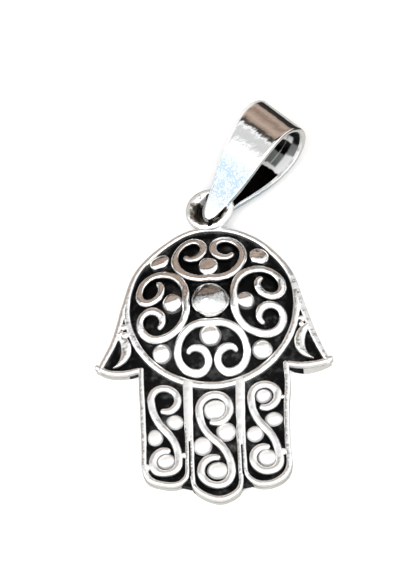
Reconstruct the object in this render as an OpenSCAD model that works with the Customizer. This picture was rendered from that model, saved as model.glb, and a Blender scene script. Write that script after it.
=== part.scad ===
// Hamsa pendant in oxidised silver, lying on its back.
// Millimetres. The origin is the centre of the palm on the flat back face:
// +Z comes out of the front, +Y points to the loop and the bail, +X to the right.

/* [Palm] */
// Outer diameter of the round palm
palm_d = 13.36; // [12.8:0.02:14.6]
// Width of the wire ring round the palm
ring_w = 0.5; // [0.4:0.02:0.7]
// Height that the domed palm rises to in the middle
dome_rise = 1.75; // [1.3:0.05:2.2]
// Thickness of the domed metal between the front and the dish in the back
dish_wall = 0.7; // [0.5:0.05:1]

/* [Plate and rim] */
// Thickness of the back plate
plate_t = 0.55; // [0.4:0.05:0.9]
// Height of the ornament above the plate
relief = 0.5; // [0.3:0.05:0.8]
// Width of the rim along the outline
rim_w = 0.42; // [0.3:0.02:0.6]

/* [Thumbs] */
// Lean of the hand's side, outwards from the fingers' direction
thumb_lean = 16; // [12:1:20]
// Length of the straight side between the palm and the flare
thumb_straight = 4; // [3.4:0.1:4.6]
// Radius of the flare
thumb_flare_r = 6.2; // [5.6:0.1:8]
// Turn of the flare
thumb_flare_turn = 30; // [24:1:34]
// Fall of the thumb's lower edge from the hand's side to its tip
thumb_sag = 0.35; // [0.2:0.05:0.6]
// Blunt width left on the thumb's tip
tip_blunt = 0.2; // [0.1:0.05:0.4]
// Length of the leaf inside each thumb
leaf_l = 2.86; // [2.2:0.05:3.2]
// Bulge of the leaf's full edge
leaf_bulge = 0.97; // [0.8:0.01:1.1]
// Bulge of the leaf's hollow edge
leaf_hollow = 0.34; // [0.2:0.01:0.5]

/* [Fingers] */
// Width across the three fingers
hand_w = 11.4; // [10.8:0.1:12.2]
// Width of the middle finger, between its two seams
middle_w = 4; // [3.6:0.1:4.4]
// Distance from the palm's centre to the end of the side fingers
side_drop = 14.65; // [14:0.05:16]
// Distance from the palm's centre to the end of the middle finger
middle_drop = 15.7; // [15.2:0.05:17]
// Radius of the outer corner of the side fingers
side_corner_r = 2.25; // [1.9:0.05:2.6]
// Width of each of the two wires that lie side by side in a divider
seam_w = 0.33; // [0.25:0.01:0.45]

/* [Scrolls] */
// Width of the scroll wire
wire_w = 0.62; // [0.5:0.02:0.7]
// Gap between the scrolls and the walls beside them
scroll_gap = 0.15; // [0.1:0.01:0.3]
// Gap between the heart scrolls and the palm's ring
heart_gap = 0.4; // [0.3:0.05:0.8]
// Distance from the middle of an S scroll to the middle of each eye
eye_reach = 2.45; // [2.2:0.05:2.7]
// Gap between an S scroll and the rim at the end of a side finger
side_end_gap = 0.5; // [0.2:0.05:0.8]
// Gap between the S scroll and the rim at the end of the middle finger
middle_end_gap = 0.55; // [0.2:0.05:0.9]

/* [Granules] */
// Radius of the large dome in the middle
centre_r = 1.4; // [1.1:0.05:1.6]
// Height of the large dome
centre_rise = 0.95; // [0.6:0.05:1.2]
// Radius of the granules on the palm
palm_bead_r = 0.68; // [0.5:0.02:0.76]
// Radius of the granules beside the S scrolls of the side fingers
side_bead_r = 0.54; // [0.4:0.02:0.6]
// Radius of the granules beside the S scroll of the middle finger
middle_bead_r = 0.65; // [0.5:0.02:0.72]
// Height of a granule, as a share of its radius
bead_lift = 0.88; // [0.6:0.02:1]

/* [Loop] */
// Outer diameter of the soldered loop
loop_d = 3.66; // [3.4:0.02:4.2]
// Thickness of the loop's wire
loop_wire = 0.72; // [0.6:0.02:0.8]
// Height of the loop's middle above the back face
loop_z = 0.95; // [0.85:0.05:1.2]
// Offset of the loop to the right of the middle
loop_x = 0.25; // [0:0.05:0.5]
// How deep the loop is sunk into the rim
loop_sink = 0.42; // [0.3:0.02:0.5]
// Twist of the loop about the hand's long axis
loop_roll = 17; // [0:1:20]

/* [Bail] */
// Length of the bail from its tip to the end of its fold
bail_l = 10; // [9:0.1:11]
// Width of the bail at its fold
bail_w = 4.5; // [3.8:0.1:5]
// Outer radius of the fold
fold_r = 2.15; // [1.7:0.05:2.3]
// Thickness of the bail's strap
strap_t = 0.38; // [0.3:0.02:0.46]
// Length of the pinched and soldered tip
pinch_l = 0.35; // [0.25:0.05:0.45]
// Distance from the tip to the middle of the loop's wire
hang_l = 2.15; // [2.05:0.05:2.3]
// Play between the loop's wire and the inside of the strap
bail_play = 0.07; // [0.05:0.01:0.12]
// Swing of the bail to the right
bail_swing = 43; // [20:1:45]
// Place of the bail's wire contact round the loop, past the swing
contact_turn = 13; // [4:1:18]
// Room left between the bail's lowest edge and the surface
rest_gap = 0.02; // [0.01:0.01:0.1]

/* [Hidden] */

SILVER = [0.83, 0.83, 0.82];
DARK_SILVER = [0.66, 0.66, 0.66];

palm_r = palm_d / 2;
ring_in = palm_r - ring_w;
rim_h = plate_t + relief;
CUT = 1;            // how far a cutting shape runs past what it cuts
STEP_DEG = 11;      // turn between two points of a wire's edge
LAP = 0.02;         // overlap where two shapes of one solid meet

// The dome is a cap of one sphere, and the relief and the dish are concentric with it.
dome_r = (ring_in * ring_in + dome_rise * dome_rise) / (2 * dome_rise);
dome_z = plate_t + dome_rise - dome_r;

// Height of the domed web at a place on the palm
function web_z(x, y) = dome_z + sqrt(dome_r * dome_r - x * x - y * y);

// A track is a list of [x, y, heading]. A step is [radius, turn], where a positive
// turn goes left, or [length, 0] for a straight stretch.
function moved(p, step, share) =
    let (r = step[0], turn = step[1] * share, h = p[2], s = sign(step[1]))
    s == 0
        ? [p[0] + r * share * cos(h), p[1] + r * share * sin(h), h]
        : [p[0] + s * r * (sin(h + turn) - sin(h)), p[1] + s * r * (cos(h) - cos(h + turn)), h + turn];

function walk(p, steps, i = 0) =
    i == len(steps)
        ? [p]
        : let (n = max(1, ceil(abs(steps[i][1]) / STEP_DEG)))
          concat(
              [for (k = [0 : n - 1]) moved(p, steps[i], k / n)],
              walk(moved(p, steps[i], 1), steps, i + 1)
          );

// The track's points, moved sideways: a positive distance goes to its left
function beside(track, d) = [for (p = track) [p[0] - d * sin(p[2]), p[1] + d * cos(p[2])]];

function reversed(list) = [for (i = [len(list) - 1 : -1 : 0]) list[i]];

// Round end of a wire, from its left side to its right side
function round_end(p, w) =
    [for (a = [75 : -30 : -75]) [p[0] + w / 2 * cos(p[2] + a), p[1] + w / 2 * sin(p[2] + a)]];

// Round start of a wire, from its right side to its left side
function round_start(p, w) =
    [for (a = [-105 : -30 : -255]) [p[0] + w / 2 * cos(p[2] + a), p[1] + w / 2 * sin(p[2] + a)]];

// Flat shape of a wire of width w that follows a track
module wire_2d(track, w) {
    last = track[len(track) - 1];
    polygon(concat(
        beside(track, w / 2),
        round_end(last, w),
        reversed(beside(track, -w / 2)),
        round_start(track[0], w)
    ));
}

// Heart scroll

heart_root = centre_r + scroll_gap + wire_w / 2;
heart_l = ring_in - heart_gap - wire_w / 2 - heart_root;
root_dip = 12.4;

// Radius as a share of the heart's length, and turn
HEART_STEPS = [
    [0.606, -90 - root_dip],
    [0.408, -90],
    [0.231, -90],
    [0.268, -90],
    [0.155, -55]
];

function heart_half() =
    walk([heart_root, 0, 90 + root_dip], [for (s = HEART_STEPS) [s[0] * heart_l, s[1]]]);

// One half, mirrored and run backwards, then the root, then the other half
function heart_track() =
    let (half = heart_half(), n = len(half) - 1)
    concat(
        [for (i = [n : -1 : 1]) [half[i][0], -half[i][1], 180 - half[i][2]]],
        [[half[0][0], half[0][1], 90]],
        [for (i = [1 : n]) half[i]]
    );

// S scroll

HOOK_SHARE = 0.91;   // radius of an S scroll's inner hook, as a share of its loop
HOOK_TURN = 105;     // turn of the hook

// From the middle of the S up to the end of its upper hook
function s_half(loop_r) =
    let (sweep = 2 * atan(loop_r / eye_reach))
    walk([0, 0, 90 + sweep], [
        [eye_reach / sin(sweep), -sweep],
        [loop_r, -180],
        [loop_r * HOOK_SHARE, -HOOK_TURN]
    ]);

function s_track(loop_r) =
    let (half = s_half(loop_r), n = len(half) - 1)
    concat(
        [for (i = [n : -1 : 1]) [-half[i][0], -half[i][1], half[i][2]]],
        half
    );

// Outline, drawn at any inset from the edge

side_w = hand_w / 2 - middle_w / 2;
MIDDLE_CORNER_TURN = 50;
MIDDLE_CORNER_SHARE = 0.7;   // corner radius of the middle finger, as a share of half its width

// Right-hand side finger. Its outer wall is inset by d and its seam wall by e.
module side_finger_2d(d = 0, e = 0) {
    inner_r = side_w - side_corner_r;
    track = walk([hand_w / 2, 0, -90], [
        [side_drop - side_corner_r, 0],
        [side_corner_r, -90],
        [inner_r, -90],
        [side_drop - inner_r, 0]
    ]);
    intersection() {
        polygon(beside(track, -d));
        translate([middle_w / 2 + e, -side_drop - CUT])
            square([side_w, side_drop + 2 * CUT]);
    }
}

module middle_finger_2d(d = 0, e = 0) {
    half_w = middle_w / 2;
    corner_r = MIDDLE_CORNER_SHARE * half_w;
    end_turn = 180 - 2 * MIDDLE_CORNER_TURN;
    end_r = (half_w - corner_r * (1 - cos(MIDDLE_CORNER_TURN))) / cos(MIDDLE_CORNER_TURN);
    depth = corner_r * sin(MIDDLE_CORNER_TURN) + end_r * (1 - sin(MIDDLE_CORNER_TURN));
    track = walk([half_w, 0, -90], [
        [middle_drop - depth, 0],
        [corner_r, -MIDDLE_CORNER_TURN],
        [end_r, -end_turn],
        [corner_r, -MIDDLE_CORNER_TURN],
        [middle_drop - depth, 0]
    ]);
    intersection() {
        polygon(beside(track, -d));
        translate([-half_w + e, -middle_drop - CUT])
            square([middle_w - 2 * e, middle_drop + 2 * CUT]);
    }
}

// The side of the hand leaves the palm as a tangent and flares out to the thumb's tip.
side_start = [palm_r * cos(thumb_lean), palm_r * sin(thumb_lean), thumb_lean - 90];
side_steps = [[thumb_straight, 0], [thumb_flare_r, thumb_flare_turn]];
thumb_tip = moved(moved(side_start, side_steps[0], 1), side_steps[1], 1);
tip_reach = norm([thumb_tip[0], thumb_tip[1]]);

// The thumb's lower edge is an arc that hangs below the line from its tip to the finger.
edge_dx = thumb_tip[0] - hand_w / 2;
edge_dy = thumb_sag;
edge_chord = norm([edge_dx, edge_dy]);
edge_turn = 4 * atan(2 * thumb_sag / edge_chord);
edge_heading = 180 + atan(edge_dy / edge_dx) + edge_turn / 2;
edge_steps = [[edge_chord / (2 * sin(edge_turn / 2)), -edge_turn], [hand_w / 2, 0]];

// Right-hand thumb with the part of the palm that carries it
module thumb_2d(d = 0) {
    flare = beside(walk(side_start, side_steps), -d);
    edge = beside(walk([thumb_tip[0], thumb_tip[1], edge_heading], edge_steps), -d);
    last = flare[len(flare) - 1];
    intersection() {
        polygon(concat([[0, 0], [0, flare[0][1]]], flare, [[last[0], -palm_d], [0, -palm_d]]));
        polygon(concat([[palm_d, palm_r], [palm_d, edge[0][1]]], edge, [[0, palm_r]]));
        circle(r = tip_reach - tip_blunt, $fn = 96);
    }
}

module both_sides() {
    children();
    mirror([1, 0, 0]) children();
}

module outline_2d() {
    circle(r = palm_r, $fn = 96);
    middle_finger_2d();
    both_sides() {
        side_finger_2d();
        thumb_2d();
    }
}

// Pieces of the hand

// Solid sphere concentric with the dome, so that it lies a given height above the web
module dome_ball(above) {
    translate([0, 0, dome_z]) sphere(r = dome_r + above, $fn = 96);
}

module plate() {
    linear_extrude(plate_t) outline_2d();
    intersection() {
        cylinder(r = ring_in + LAP, h = rim_h + dome_rise, $fn = 96);
        dome_ball(0);
    }
}

module palm_ring() {
    difference() {
        cylinder(r = palm_r, h = rim_h, $fn = 96);
        translate([0, 0, -CUT]) cylinder(r = ring_in, h = rim_h + 2 * CUT, $fn = 96);
    }
}

module finger_frames() {
    linear_extrude(rim_h) {
        difference() {
            middle_finger_2d();
            middle_finger_2d(rim_w, seam_w);
            circle(r = ring_in, $fn = 96);
        }
        both_sides() difference() {
            side_finger_2d();
            side_finger_2d(rim_w, seam_w);
            circle(r = ring_in, $fn = 96);
        }
    }
}

module thumb_rims() {
    linear_extrude(rim_h) both_sides() difference() {
        thumb_2d();
        thumb_2d(rim_w);
        circle(r = ring_in, $fn = 96);
        translate([0, -palm_d]) square([hand_w / 2 - rim_w, palm_d]);
    }
}

// Crescent between two arcs over one chord. Its full edge faces the palm.
module leaf_2d() {
    full_r = (leaf_l * leaf_l / 4 + leaf_bulge * leaf_bulge) / (2 * leaf_bulge);
    hollow_r = (leaf_l * leaf_l / 4 + leaf_hollow * leaf_hollow) / (2 * leaf_hollow);
    difference() {
        translate([full_r - leaf_bulge, 0]) circle(r = full_r, $fn = 96);
        translate([hollow_r - leaf_hollow, 0]) circle(r = hollow_r, $fn = 96);
    }
}

LEAF_FROM_TIP = [-0.2, 0.147];   // leaf's middle from the thumb's tip, as shares of the tip's reach
LEAF_TILT = 8.6;

module leaves() {
    linear_extrude(rim_h) both_sides()
        translate([
            thumb_tip[0] + LEAF_FROM_TIP[0] * thumb_tip[0],
            thumb_tip[1] + LEAF_FROM_TIP[1] * thumb_tip[0]
        ])
            rotate(LEAF_TILT) leaf_2d();
}

module hearts() {
    intersection() {
        linear_extrude(rim_h + dome_rise)
            for (turn = [0 : 90 : 270]) rotate(turn) wire_2d(heart_track(), wire_w);
        dome_ball(relief);
    }
}

// Half the room between a finger's walls
side_cell = (side_w - rim_w - seam_w) / 2;
middle_cell = middle_w / 2 - seam_w;
side_loop = side_cell - scroll_gap - wire_w / 2;
middle_loop = middle_cell - scroll_gap - wire_w / 2;
side_x = middle_w / 2 + seam_w + side_cell;
side_s_y = -side_drop + rim_w + side_end_gap + wire_w / 2 + side_loop + eye_reach;
middle_s_y = -middle_drop + rim_w + middle_end_gap + wire_w / 2 + middle_loop + eye_reach;

module s_scrolls() {
    linear_extrude(rim_h) {
        translate([-side_x, side_s_y]) wire_2d(s_track(side_loop), wire_w);
        translate([side_x, side_s_y]) wire_2d(s_track(side_loop), wire_w);
        translate([0, middle_s_y]) wire_2d(s_track(middle_loop), wire_w);
    }
}

// Granule with foot radius r that stands rise above a surface, along direction up
module granule(at, up, r, rise) {
    ball_r = (r * r + rise * rise) / (2 * rise);
    translate(at + (rise - ball_r) * up / norm(up)) sphere(r = ball_r, $fn = 32);
}

module palm_granule(x, y, r, rise) {
    granule([x, y, web_z(x, y)], [x, y, web_z(x, y) - dome_z], r, rise);
}

module flat_granule(x, y, r) {
    granule([x, y, plate_t], [0, 0, 1], r, r * bead_lift);
}

// Place of the granule beside an S, as shares of the loop radius and of the reach
BESIDE_S = [0.76, 0.235];

module s_granules(x, y, loop_r, r) {
    dx = BESIDE_S[0] * loop_r;
    dy = BESIDE_S[1] * eye_reach;
    for (s = [-1, 1]) flat_granule(x + s * dx, y + s * dy, r);
}

module finger_granules() {
    s_granules(-side_x, side_s_y, side_loop, side_bead_r);
    s_granules(side_x, side_s_y, side_loop, side_bead_r);
    s_granules(0, middle_s_y, middle_loop, middle_bead_r);
    // Granules in the eyes: all but the upper eye on the left
    flat_granule(-side_x, side_s_y - eye_reach, side_bead_r);
    flat_granule(side_x, side_s_y - eye_reach, side_bead_r);
    flat_granule(side_x, side_s_y + eye_reach, side_bead_r);
    flat_granule(0, middle_s_y - eye_reach, middle_bead_r);
    flat_granule(0, middle_s_y + eye_reach, middle_bead_r);
}

module granules() {
    palm_granule(0, 0, centre_r, centre_rise);
    bead_u = heart_root + wire_w / 2 + palm_bead_r - 2 * LAP;
    corner_u = (ring_in - palm_bead_r - 2 * LAP) * sqrt(0.5);
    for (turn = [0 : 90 : 270]) rotate(turn) {
        palm_granule(bead_u, 0, palm_bead_r, palm_bead_r * bead_lift);
        palm_granule(corner_u, corner_u, palm_bead_r, palm_bead_r * bead_lift);
    }
    intersection() {
        finger_granules();
        translate([-hand_w / 2, -middle_drop, LAP]) cube([hand_w, middle_drop, rim_h + relief]);
    }
}

// Loop and bail

loop_r = (loop_d - loop_wire) / 2;
loop_y = palm_r + loop_d / 2 - loop_sink;

module loop() {
    translate([loop_x, loop_y, loop_z]) rotate([0, -loop_roll, 0])
        rotate_extrude($fn = 64) translate([loop_r, 0]) circle(d = loop_wire, $fn = 32);
}

module hamsa() {
    color(DARK_SILVER) difference() {
        union() {
            plate();
            palm_ring();
            finger_frames();
            thumb_rims();
            leaves();
            hearts();
            s_scrolls();
            granules();
            loop();
        }
        dome_ball(-dish_wall);
    }
}

// The strap's inner face is closed at the tip, hugs the loop's wire and then opens to the fold.
throat_gap = loop_wire / 2 + bail_play;
throat_from = hang_l - loop_wire;
throat_to = hang_l + loop_wire / 2;
fold_at = bail_l - fold_r;
inner_r = fold_r - strap_t;
OPENING = 1.2;     // how late the strap starts to open: 1 is at once

function half_gap(a) =
    a <= pinch_l ? 0
    : a < throat_from ? throat_gap * sin(90 * (a - pinch_l) / (throat_from - pinch_l))
    : a < throat_to ? throat_gap
    : throat_gap + (inner_r - throat_gap) * pow(sin(90 * (a - throat_to) / (fold_at - throat_to)), OPENING);

throat_stops = [for (k = [0 : 8]) pinch_l + (throat_from - pinch_l) * k / 8];
open_stops = [for (k = [0 : 14]) throat_to + (fold_at - throat_to) * k / 14];
FOLD_TURNS = [for (t = [80 : -10 : -80]) t];

function strap_side(r, extra, stops) = concat(
    [for (a = stops) [a, half_gap(a) + extra]],
    [for (t = FOLD_TURNS) [fold_at + r * cos(t), r * sin(t)]],
    [for (a = reversed(stops)) [a, -half_gap(a) - extra]]
);

module strap_side_2d() {
    stops = concat(throat_stops, open_stops);
    inner = strap_side(inner_r, 0, stops);
    outer = strap_side(fold_r, strap_t, concat([0], stops));
    difference() {
        polygon(outer);
        polygon([for (i = [1 : len(inner) - 1]) inner[i]]);
    }
}

// Share of the bail's length from its tip, and share of its full width there
BAIL_OUTLINE = [
    [0, 0.1], [0.012, 0.16], [0.036, 0.23], [0.083, 0.3], [0.125, 0.355], [0.167, 0.4], [0.25, 0.49],
    [0.375, 0.62], [0.49, 0.725], [0.615, 0.825], [0.73, 0.9], [0.83, 0.945], [1.01, 0.96]
];

module strap_plan_2d() {
    right = [for (row = BAIL_OUTLINE) [row[1] * bail_w / 2, row[0] * bail_l]];
    left = [for (p = reversed(right)) [-p[0], p[1]]];
    polygon(concat(right, left));
}

// The bail leans with the loop, and is pitched until its lowest edge meets the surface.
contact = contact_turn + bail_swing;
across_rise = sin(loop_roll) * cos(bail_swing);

// How far the strap's lower corner lies below its middle line, at a distance from the tip
function corner_drop(a) =
    (half_gap(a) + strap_t) * sqrt(1 - across_rise * across_rise)
    + lookup(a / bail_l, BAIL_OUTLINE) * bail_w / 2 * across_rise;

// Height of the middle line that the lean alone gives
function lean_z(a) = loop_z + sin(loop_roll) * (loop_r * sin(contact) + (a - hang_l) * sin(bail_swing));

bail_pitch = asin(max([
    for (a = open_stops) if (a > 2 * hang_l)
        (rest_gap + corner_drop(a) - lean_z(a)) / (cos(loop_roll) * (a - hang_l))
]));

module bail() {
    color(SILVER)
        translate([loop_x, loop_y, loop_z]) rotate([0, -loop_roll, 0])
        translate([loop_r * sin(contact), loop_r * cos(contact), 0])
        rotate([0, 0, -bail_swing]) rotate([bail_pitch, 0, 0]) translate([0, -hang_l, 0])
        intersection() {
            rotate([90, 0, 90]) linear_extrude(bail_w + 2 * CUT, center = true) strap_side_2d();
            linear_extrude(2 * fold_r + 2 * CUT, center = true) strap_plan_2d();
        }
}

hamsa();
bail();
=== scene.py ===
# %% [markdown]
# # A hamsa pendant in oxidised silver
#
# The real thing is a small silver hand. Wires and granules are soldered to a
# dark plate, the round palm is pushed up into a dome, and a folded strap, the
# bail, hangs in a loop at the top. It lies on its back on a white table.
#
# The CAD model gives the frame: millimetre sizes, places and what touches
# what. Here every wire gets its own rounded section, its own wobble and its
# own worn finish.

# %% Load the frame
import math

import bmesh
import bpy
from mathutils import Matrix, Vector, noise


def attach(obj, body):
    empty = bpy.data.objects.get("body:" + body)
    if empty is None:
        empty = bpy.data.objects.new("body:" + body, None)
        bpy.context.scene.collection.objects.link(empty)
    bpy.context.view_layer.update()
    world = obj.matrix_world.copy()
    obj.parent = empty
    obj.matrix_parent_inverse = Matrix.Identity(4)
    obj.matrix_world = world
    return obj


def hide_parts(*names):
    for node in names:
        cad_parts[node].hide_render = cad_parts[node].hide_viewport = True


# Noise vectors follow a seed, which Blender otherwise takes from the clock
WOBBLE_SEED = 6
noise.seed_set(WOBBLE_SEED)

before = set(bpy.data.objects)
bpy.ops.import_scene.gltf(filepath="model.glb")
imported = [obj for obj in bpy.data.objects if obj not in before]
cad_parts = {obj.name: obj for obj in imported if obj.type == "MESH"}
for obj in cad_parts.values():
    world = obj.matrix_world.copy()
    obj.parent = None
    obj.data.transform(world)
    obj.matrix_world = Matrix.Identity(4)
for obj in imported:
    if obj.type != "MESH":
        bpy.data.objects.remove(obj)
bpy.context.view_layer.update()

# %% [markdown]
# ## Camera
#
# The camera looks down from the fingers' side, 22 degrees off the vertical. A
# wide lens close by would swell the nearest parts. A long lens far away keeps
# the wires parallel, as they look in a small photograph of a small thing.

# %% Camera
MM = 0.001
TO_CAMERA = Vector((0.0307, -0.3815, 0.9239)).normalized()
IMAGE_UP = Vector((0.0566, 0.9235, 0.3794)).normalized()
IMAGE_RIGHT = IMAGE_UP.cross(TO_CAMERA)
FRAME_H = 44.43
SENSOR_H = 36.0
DISTANCE = 300.0
AIM_LEFT = 0.214
AIM_UP = 1.206
RIM_H = 1.05

aim = Vector((0, 0, RIM_H)) - AIM_LEFT * IMAGE_RIGHT + AIM_UP * IMAGE_UP
lens = bpy.data.cameras.new("camera")
lens.sensor_fit = "VERTICAL"
lens.sensor_height = SENSOR_H
lens.lens = SENSOR_H * DISTANCE / FRAME_H
lens.clip_start = 0.01
lens.clip_end = 10.0
camera = bpy.data.objects.new("camera", lens)
pose = Matrix((IMAGE_RIGHT, IMAGE_UP, TO_CAMERA)).transposed().to_4x4()
pose.translation = (aim + DISTANCE * TO_CAMERA) * MM
camera.matrix_world = pose
scene = bpy.context.scene
scene.collection.objects.link(camera)
scene.camera = camera
scene.view_settings.view_transform = "Standard"
scene.view_settings.look = "None"
print("lens of", round(lens.lens), "mm")

# %% [markdown]
# ## Node trees
#
# The sky and the finishes are made of nodes. In Blender's editor they are
# wired by hand. In a script one helper for each kind of node is shorter: it
# adds the node, fills its sockets with values or links, and hands back the
# result, so that a finish can be read like a sum.


# %% Helpers for node trees
def fill_sockets(tree, node, inputs):
    """Sets or links a node's inputs by name or number."""
    for name, value in inputs.items():
        socket = node.inputs[name]
        if isinstance(value, bpy.types.NodeSocket):
            tree.links.new(value, socket)
        else:
            socket.default_value = value


def add_node(tree, kind, inputs=None, **settings):
    """Adds a node, sets its options, and fills its sockets."""
    node = tree.nodes.new(kind)
    for name, value in settings.items():
        setattr(node, name, value)
    fill_sockets(tree, node, inputs or {})
    return node


def add_ramp(tree, factor, stops):
    """A colour ramp. Each stop is a position and a grey or a colour."""
    node = add_node(tree, "ShaderNodeValToRGB", {"Fac": factor})
    ramp = node.color_ramp
    while len(ramp.elements) < len(stops):
        ramp.elements.new(0.5)
    for element, (place, colour) in zip(ramp.elements, stops):
        element.position = place
        tone = (colour,) * 3 if isinstance(colour, (int, float)) else colour
        element.color = (*tone, 1.0)
    return node.outputs["Color"]


def math_node(tree, operation, *values):
    """A Math node with its values or links in order."""
    return add_node(tree, "ShaderNodeMath", dict(enumerate(values)), operation=operation).outputs[0]


def vector_math(tree, operation, *vectors):
    """A Vector Math node with one or two vectors."""
    node = add_node(tree, "ShaderNodeVectorMath", dict(enumerate(vectors)), operation=operation)
    return node.outputs["Value" if operation in ("DOT_PRODUCT", "LENGTH") else "Vector"]


def map_range(tree, value, low, high, to_low=0.0, to_high=1.0, curve="LINEAR"):
    """A Map Range node: low to high becomes to_low to to_high, and stops there."""
    inputs = {"Value": value, "From Min": low, "From Max": high}
    inputs.update({"To Min": to_low, "To Max": to_high})
    node = add_node(tree, "ShaderNodeMapRange", inputs, interpolation_type=curve)
    return node.outputs["Result"]


def mix_colours(tree, factor, a, b, blend="MIX"):
    """A Mix node for colours."""
    inputs = {"Factor": factor, "A": a, "B": b}
    node = add_node(tree, "ShaderNodeMix", inputs, data_type="RGBA", blend_type=blend)
    return node.outputs["Result"]


def part_of(tree, vector, axis):
    """One of the three numbers of a vector."""
    return add_node(tree, "ShaderNodeSeparateXYZ", {"Vector": vector}).outputs[axis]


def grey(tone):
    """A grey as red, green, blue and alpha."""
    return (tone, tone, tone, 1.0)


# %% [markdown]
# ## The room and its lamps
#
# Polished silver has hardly any colour of its own: it shows the room. So the
# room does most of the work here. Its sky is white to the south and overhead.
# Towards the north, behind the loop, come a grey strip, a dark line and a warm
# brown stretch with streaks, and the slopes that face that way pick them up. A
# picture of a real room would do the same, but bands in a colour ramp can be
# moved one by one. Two large soft lamps add the highlights. The camera itself
# sees the sky as plain white.

# %% The room that the silver reflects
WHITE = (1.25, 1.26, 1.27)
BROWN = (0.42, 0.31, 0.245)
# Slope of the silver, -1 to the south and 1 to the north, and the colour it shows
SKY = [
    (-1.0, (1.0, 1.0, 1.0)),
    (-0.1, WHITE),
    (0.3, WHITE),
    (0.325, (0.66, 0.68, 0.68)),
    (0.382, (0.7, 0.71, 0.71)),
    (0.392, WHITE),
    (0.402, WHITE),
    (0.412, (0.03, 0.026, 0.025)),
    (0.465, (0.04, 0.034, 0.03)),
    (0.49, (0.36, 0.27, 0.21)),
    (0.56, (0.56, 0.44, 0.37)),
    (0.62, BROWN),
    (0.66, (0.27, 0.2, 0.16)),
    (0.71, (0.5, 0.39, 0.32)),
    (0.78, (0.44, 0.34, 0.28)),
    (0.86, (0.2, 0.15, 0.12)),
    (1.0, (0.1, 0.08, 0.065)),
]

BAND_LEAN = 0.32
RAGGEDNESS = 0.03

world = bpy.data.worlds.new("studio")
scene.world = world
world.use_nodes = True
tree = world.node_tree
tree.nodes.clear()
direction = add_node(tree, "ShaderNodeTexCoord").outputs["Generated"]

# The slope of silver that shows this direction of the sky in the photograph's view
facing = vector_math(tree, "NORMALIZE", vector_math(tree, "ADD", direction, tuple(TO_CAMERA)))
slope = vector_math(tree, "DOT_PRODUCT", facing, tuple(IMAGE_UP - BAND_LEAN * IMAGE_RIGHT))
waves = add_node(tree, "ShaderNodeTexNoise", {"Vector": direction, "Scale": 7.0, "Detail": 2.0})
straight = math_node(tree, "MULTIPLY_ADD", slope, 0.5, 0.5 - RAGGEDNESS / 2)
ragged = math_node(tree, "MULTIPLY_ADD", waves.outputs["Fac"], RAGGEDNESS, straight)
bands = add_ramp(tree, ragged, [(0.5 + 0.5 * place, colour) for place, colour in SKY])

# It is dark just above the table, but not in the south
to_south = math_node(tree, "MULTIPLY", part_of(tree, direction, "Y"), -2.0)
south_only = math_node(tree, "MAXIMUM", to_south, 0.0)
height = math_node(tree, "ADD", part_of(tree, direction, "Z"), south_only)
haze = add_ramp(tree, height, [(0.02, 0.02), (0.06, 0.8), (0.2, 1.0)])
sky = mix_colours(tree, 1.0, bands, haze, blend="MULTIPLY")
seen = add_node(tree, "ShaderNodeLightPath").outputs["Is Camera Ray"]
shown = mix_colours(tree, seen, sky, grey(1.0))
glow = add_node(tree, "ShaderNodeBackground", {"Color": shown, "Strength": 1.0})
add_node(tree, "ShaderNodeOutputWorld", {"Surface": glow.outputs[0]})
print("the sky has", len(SKY), "stops")

# %% Soft lamps
# Name, place and size in millimetres, power in watts, colour
LAMPS = [
    ("window", (-140, -60, 210), 160, 0.22, (0.97, 0.985, 1.0)),
    ("ceiling", (90, -120, 260), 140, 0.176, (1.0, 0.995, 0.98)),
]
for name, place, size, power, colour in LAMPS:
    lamp = bpy.data.lights.new(name, "AREA")
    lamp.size = size * MM
    lamp.energy = power
    lamp.color = colour
    holder = bpy.data.objects.new(name, lamp)
    spot = Vector(place) * MM
    holder.location = spot
    holder.rotation_euler = (-spot).to_track_quat("-Z", "Y").to_euler()
    scene.collection.objects.link(holder)
    print("the", name, "lamp is", round(spot.length / MM), "mm away")

# %% [markdown]
# ## The white table
#
# The pendant lies on a sheet of white paper. One big plane does for that. The
# silver mirrors the table too, grey near the hand and the fold and dark further
# north, as the photograph shows on the low sides. So mirrored rays see a
# greyer table, and a little glow that only the camera sees keeps the shadow
# faint.

# %% The table
TABLE_SIZE = 1.2
SHADOW_LIFT = 0.09
FOLD_AT = (0.0055, 0.0145, 0.0)
paper = bpy.data.materials.new("white table")
paper.use_nodes = True
tree = paper.node_tree
place = add_node(tree, "ShaderNodeTexCoord").outputs["Object"]
reach = vector_math(tree, "LENGTH", vector_math(tree, "SUBTRACT", place, FOLD_AT))
past_fold = map_range(tree, reach, 0.0066, 0.0078)
around_fold = mix_colours(tree, past_fold, (0.5, 0.5, 0.47, 1), grey(0.01))
is_north = map_range(tree, part_of(tree, place, "Y"), 0.008, 0.011)
mirrored_table = mix_colours(tree, is_north, (0.42, 0.41, 0.38, 1), around_fold)
ray = add_node(tree, "ShaderNodeLightPath").outputs
fill_sockets(
    tree,
    tree.nodes["Principled BSDF"],
    {
        "Base Color": mix_colours(tree, ray["Is Glossy Ray"], grey(0.96), mirrored_table),
        "Roughness": 0.8,
        "Specular IOR Level": 0.1,
        "Emission Color": grey(1.0),
        "Emission Strength": math_node(tree, "MULTIPLY", ray["Is Camera Ray"], SHADOW_LIFT),
    },
)

bm = bmesh.new()
bmesh.ops.create_grid(bm, x_segments=1, y_segments=1, size=TABLE_SIZE / 2)
mesh = bpy.data.meshes.new("table")
bm.to_mesh(mesh)
bm.free()
mesh.materials.append(paper)
table = bpy.data.objects.new("table", mesh)
scene.collection.objects.link(table)
print("table of", TABLE_SIZE, "m")

# %% [markdown]
# ## The plan of the hand
#
# Everything on the hand is drawn with straight stretches and arcs that run
# into each other, as a silversmith bends wire round pegs. A spot is a place
# and a heading. A step is (radius, turn) or, for a straight stretch,
# (length, 0). Plan sizes are millimetres, and turns are degrees, positive to
# the left.

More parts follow.
